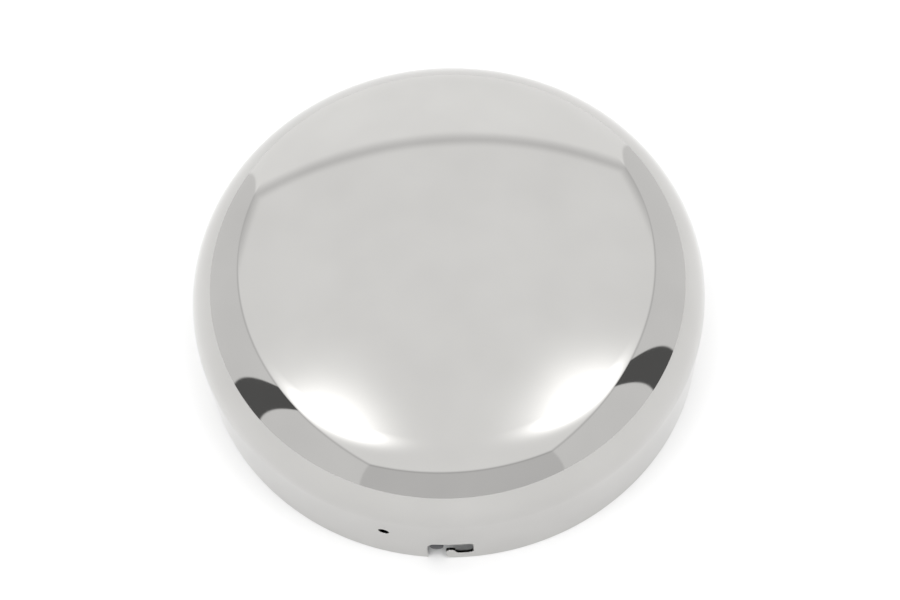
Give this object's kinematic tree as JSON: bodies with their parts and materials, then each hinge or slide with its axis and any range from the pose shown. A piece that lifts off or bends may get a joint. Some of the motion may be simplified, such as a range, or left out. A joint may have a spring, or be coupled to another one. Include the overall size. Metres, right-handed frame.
{
  "type": "air filter housing",
  "caption": "Round domed air filter housing for a carburettor, with a bayonet cover, a sprung hold-down and a wire mesh element.",
  "frame": {"origin": "on the housing's axis, in the plane of the cover's rim, which is the plane it stands on", "axes": "+Z along the axis, towards the crown of the cover; -Y out through the mouth of the front bayonet slot"},
  "size_m": [0.1778, 0.1778, 0.0635],
  "materials": {
    "polished_stainless": "mirror polished stainless steel",
    "zinc_plate": "zinc plated steel, satin",
    "black_oxide": "black oxide, oiled",
    "spring_steel": "tempered spring steel",
    "wire_mesh": "knitted galvanised wire",
    "felt": "pressed wool felt",
    "gasket_fibre": "compressed fibre sheet"
  },
  "bodies": {
    "base": {"backing_plate": "zinc_plate", "carburettor_gasket": "gasket_fibre", "clamp_ring": "zinc_plate", "tab_plate_1": "zinc_plate", "tab_plate_2": "zinc_plate", "mounting_screw_1": "black_oxide", "mounting_screw_2": "black_oxide", "mounting_screw_3": "black_oxide", "mounting_screw_4": "black_oxide", "bayonet_stud_1": "black_oxide", "bayonet_stud_2": "black_oxide", "bayonet_stud_3": "black_oxide", "stud_washer_1": "zinc_plate", "stud_washer_2": "zinc_plate", "stud_washer_3": "zinc_plate", "stud_nut_1": "zinc_plate", "stud_nut_2": "zinc_plate", "stud_nut_3": "zinc_plate"},
    "element": {"element_top_cap": "zinc_plate", "element_base_cap": "zinc_plate", "element_inner_tube": "zinc_plate", "element_outer_screen": "zinc_plate", "element_wire_mesh": "wire_mesh", "element_base_seal": "felt"},
    "hold_down": {"hold_down_spring": "spring_steel", "pressure_ring": "zinc_plate", "pressure_pad": "felt", "spring_rivet_1": "zinc_plate", "spring_rivet_2": "zinc_plate", "spring_rivet_3": "zinc_plate"},
    "dome": {"cover": "polished_stainless", "cover_pivot": "zinc_plate", "pivot_clip": "spring_steel"}
  },
  "joints": [
    {"name": "cover_lift", "type": "slide", "parent": "base", "child": "hold_down", "axis": [0, 0, 1], "range_m": [0, 0.1]},
    {"name": "cover_turn", "type": "hinge", "parent": "hold_down", "child": "dome", "pos_m": [0, 0, 0.06], "axis": [0, 0, 1], "range_deg": [-6.2, 0]},
    {"name": "element_lift", "type": "slide", "parent": "base", "child": "element", "axis": [0, 0, 1], "range_m": [0, 0.046]}
  ],
  "couplings": [
    {"joint": "element_lift", "follows": "cover_lift", "ratio": 0.45}
  ]
}
